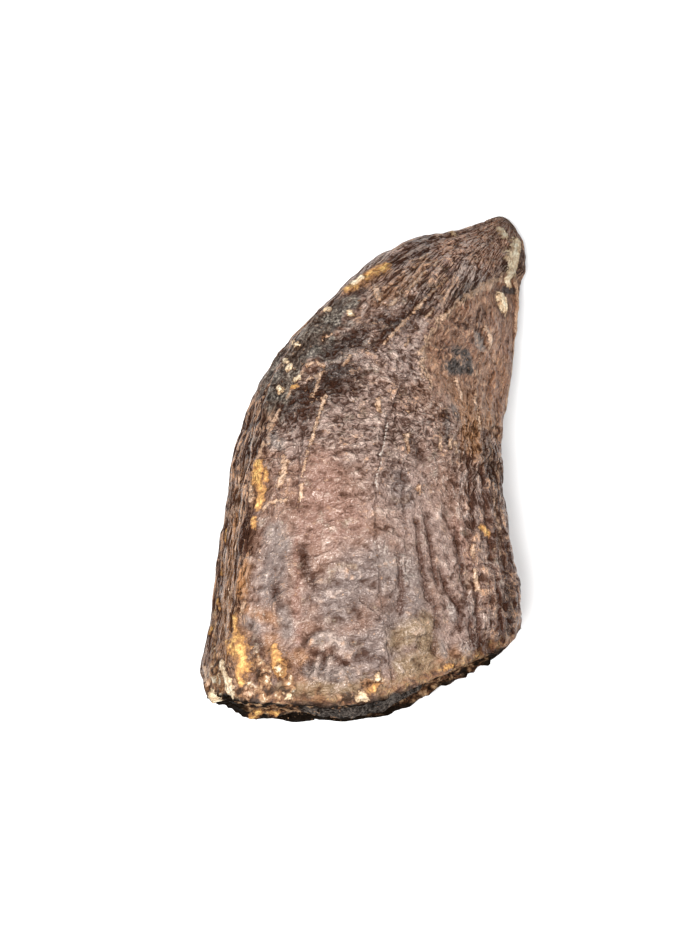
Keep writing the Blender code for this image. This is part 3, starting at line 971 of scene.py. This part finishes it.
def enamel_colour(look):
    """Broad stains, then painted shade in the creases and a painted highlight on the crests."""
    mark = look.mark
    colour = look.mix(look.between(look.cloud, 0.42, 0.62), ENAMEL, STAIN_COLOURS["mid"])
    colour = look.mix(look.times(look.between(look.blotch, 0.5, 0.68), 0.5), colour, UMBER)
    # Painted shade on the sides that turn away from the light, darkest on the facet.
    colour = look.mix(look.times(mark["side"], 0.45), colour, UMBER)
    colour = look.mix(look.times(mark["facet"], 0.7), colour, FACET_BROWN)
    for name, stain in STAIN_COLOURS.items():
        edge = look.swing(mark[name], look.blotch, 1.2)
        colour = look.mix(look.times(look.between(edge, 0.05, 0.9), 0.88), colour, stain)
    colour = streaked(look, colour)
    colour = look.mix(look.times(mark["calm"], 0.14), colour, UMBER)
    # Painted shade in the grooves.
    colour = look.mix(look.times(look.between(mark["groove"], 0.1, 0.8), 0.65), colour, CRACK_SHADE)
    # Less painted highlight on the crests of the darkest stains.
    pale = look.plus(0.6, look.most(mark["umber_and_shade"], mark["amber"]), -0.3)
    pale = look.plus(pale, mark["burnt_and_shade"], -0.22)
    return look.shaded(colour, pale, look.mix(look.warmth, PAINTED_HIGHLIGHT, WARM_PAINTED_HIGHLIGHT))


def crusted(look, colour):
    """The rough crust, the rim of the broken base and the crumbs of matrix on it."""
    mark = look.mark
    crust = look.ramp(look.crusty, (0.15, CRUST_DARK), (0.6, CRUST_GREY), (1.0, CRUST_PALE))
    crust = look.mix(look.times(look.warmth, 0.35), crust, FACET_BROWN)
    spread = look.swing(mark["crust"], look.blotch, 1.8)
    colour = look.mix(look.between(spread, 0.15, 0.7), colour, crust)
    rim = look.ramp(look.lumpy, (0.2, UMBER), (0.55, RUST), (0.8, STAIN_COLOURS["olive"]), (1.0, OCHRE))
    colour = look.mix(look.times(mark["rim"], 0.85), colour, rim)
    crumbs = look.ramp(look.lumpy, (0.15, CRUMB_DARK), (0.45, RUST), (0.7, SAND), (0.98, IVORY))
    spread = look.swing(mark["crumbs"], look.blotch, 2.0)
    return look.mix(look.times(look.between(spread, 0.3, 0.8), 0.92), colour, crumbs)


def dentine_colour(look):
    """Smooth brown dentine, with painted shade in its creases and a painted highlight on its crests, grey
    stains and a few dark spots.
    """
    mark, blotch = look.mark, look.blotch
    colour = look.mix(look.between(blotch, 0.4, 0.6), DENTINE, DENTINE_RED)
    dark = look.most(look.between(look.cloud, 0.5, 0.62), look.between(mark["umber_and_shade"], 0.1, 0.9))
    colour = look.mix(look.times(dark, 0.45), colour, UMBER)
    colour = look.mix(look.times(mark["amber"], 0.85), colour, DENTINE_DEEP)
    colour = look.shaded(colour, 0.48, WARM_PAINTED_HIGHLIGHT)
    # Tan flecks, set on the crests as a painted highlight.
    fleck = look.times(look.between(look.grit, 0.58, 0.7), look.between(look.level, 0.4, 0.8))
    colour = look.mix(look.times(fleck, 0.5), colour, TAN)
    grey = look.between(look.swing(mark["grey"], look.grit, 1.0), 0.3, 0.7)
    colour = look.mix(grey, colour, look.shaded(STAIN_COLOURS["grey"], 0.35, WARM_PAINTED_HIGHLIGHT))
    colour = look.mix(look.between(mark["burnt_and_shade"], 0.3, 0.7), colour, STAIN_COLOURS["burnt_and_shade"])
    spread = look.swing(look.swing(mark["spots"], look.level, -0.8), blotch, 1.6)
    spots = look.mix(look.between(spread, 0.5, 1.0), SPOT_GREY, SPOT_DARK)
    return look.mix(look.times(look.between(spread, 0.25, 0.95), 0.93), colour, spots)


def break_colour(look):
    """A near-black edge of painted shade, torn brown dentine within it, and grey mineral where the pulp was.
    """
    pulp = look.mark["pulp"]
    torn = look.ramp(look.lumpy, (0.15, BREAK_BROWN), (0.5, FACET_BROWN), (1.0, BREAK_TAN))
    filled = look.ramp(look.crusty, (0.1, BREAK_BROWN), (0.6, SPOT_GREY), (1.0, CRUST_GREY))
    # Painted shade along the break's edge, which faces away from the light.
    torn = look.mix(look.between(pulp, 0.08, 0.2), BREAK_BROWN, torn)
    return look.mix(look.between(pulp, 0.58, 0.64), torn, filled)


def flake_colour(look, colour):
    """Thin raised flakes of mineral, paler towards the middle, each edged with painted shadow."""
    shade = look.times(look.minus(look.lumpy, 0.55), 0.5)
    for name, ragged, low, middle, high in FLAKES:
        mark = look.mark[name]
        spread = look.swing(mark, look.speck, ragged)
        # Painted shadow round each flake's edge.
        edge = look.times(look.between(spread, 0.1, 0.35), look.between(mark, 0.02, 0.2))
        colour = look.mix(look.times(edge, 0.6), colour, PAINTED_SHADE)
        tone = look.plus(shade, spread, 0.85)
        surface = look.ramp(tone, (0.25, low), (0.65, middle), (1.0, high))
        colour = look.mix(look.between(spread, 0.35, 0.6), colour, surface)
    return colour


def tooth_colour(look, line, glint):
    mark = look.mark
    # Painted shade along the cracks.
    colour = look.mix(look.times(line, 0.65), enamel_colour(look), CRACK_SHADE)
    colour = crusted(look, colour)
    colour = look.mix(mark["dentine"], colour, dentine_colour(look))
    colour = look.mix(mark["broken"], colour, break_colour(look))
    edge = look.swing(look.most(mark["carina"], mark["ledge"]), look.speck, 1.8)
    colour = look.mix(look.times(look.between(edge, 0.2, 0.7), 0.85), colour, TAN)
    # Painted glints on top of everything.
    return look.mix(glint, flake_colour(look, colour), GLINT)


def add_gloss(look):
    """Enamel with a soft sheen on its crests. Crusts, flakes and the broken base are matt."""
    mark, sockets = look.mark, look.shader.inputs
    matt = mark["crust"]
    for name in ("crumbs", "ochre", "cream", "broken", "rim"):
        matt = look.most(matt, mark[name])
    sheen = look.plus(look.plus(0.09, look.grit, 0.4), mark["dentine"], 0.12)
    look.feed(sockets["Roughness"], look.plus(sheen, matt, 0.4))
    shine = look.plus(1.0, look.most(matt, mark["side"]), -0.6)
    shine = look.plus(shine, mark["broken"], -0.35)
    look.feed(sockets["Specular IOR Level"], look.times(shine, look.between(look.level, 0.0, 0.8)))
    sockets["Specular Tint"].default_value = SHEEN_TINT


def add_relief(look, line):
    """The finest relief: the skin's crinkles, and lumps on the broken base."""
    mark = look.mark
    relief = look.times(look.plus(look.weave, look.grit, 0.15), look.share)
    lumps = look.plus(look.times(look.crusty, 0.1), look.lumpy, 0.25)
    relief = look.plus(relief, look.minus(lumps, relief), mark["broken"])
    relief = look.plus(relief, line, -0.2)
    relief = look.plus(relief, look.minus(mark["fold"], mark["furrow"]), 0.08)
    bump = look.add("Bump")
    bump.inputs["Strength"].default_value = 1.0
    bump.inputs["Distance"].default_value = RELIEF_HEIGHT * MM
    look.feed(bump.inputs["Height"], relief)
    look.feed(look.shader.inputs["Normal"], bump.outputs["Normal"])


def tooth_material(marks):
    material = bpy.data.materials.new("fossil_enamel")
    look = Look(material, marks)
    line, glint = crack_lines(look)
    look.feed(look.shader.inputs["Base Color"], tooth_colour(look, line, glint))
    add_gloss(look)
    add_relief(look, line)
    return material


# -------------------- the studio
def add_floor():
    bpy.ops.mesh.primitive_plane_add(size=FLOOR_SIZE)
    floor = bpy.context.object
    floor.name = "floor"
    material = bpy.data.materials.new("floor")
    sockets = Nodes(material).shader.inputs
    sockets["Base Color"].default_value = FLOOR_COLOUR
    sockets["Roughness"].default_value = 0.9
    sockets["Specular IOR Level"].default_value = 0.1
    floor.data.materials.append(material)


def add_light(name, place, size, power):
    light = bpy.data.lights.new(name, "AREA")
    light.shape = "DISK"
    light.size = size
    light.energy = power
    holder = bpy.data.objects.new(name, light)
    holder.location = place
    holder.rotation_euler = (-Vector(place)).to_track_quat("-Z", "Y").to_euler()
    bpy.context.scene.collection.objects.link(holder)


def light_studio():
    world = bpy.data.worlds.new("studio")
    world.use_nodes = True
    sockets = world.node_tree.nodes["Background"].inputs
    sockets["Color"].default_value = (1, 1, 1, 1)
    sockets["Strength"].default_value = SKY_STRENGTH
    bpy.context.scene.world = world
    for light in LIGHTS:
        add_light(*light)
    bpy.context.scene.view_settings.view_transform = "Standard"


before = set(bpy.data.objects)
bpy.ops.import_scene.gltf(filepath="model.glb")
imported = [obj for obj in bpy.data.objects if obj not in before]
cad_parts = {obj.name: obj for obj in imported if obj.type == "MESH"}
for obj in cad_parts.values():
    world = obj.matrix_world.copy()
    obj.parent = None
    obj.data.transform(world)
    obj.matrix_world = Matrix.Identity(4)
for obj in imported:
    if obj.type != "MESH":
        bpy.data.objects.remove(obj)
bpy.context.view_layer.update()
tooth = make_tooth(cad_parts["tooth"])
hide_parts("tooth")
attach(tooth, "root")
add_floor()
light_studio()
add_camera()
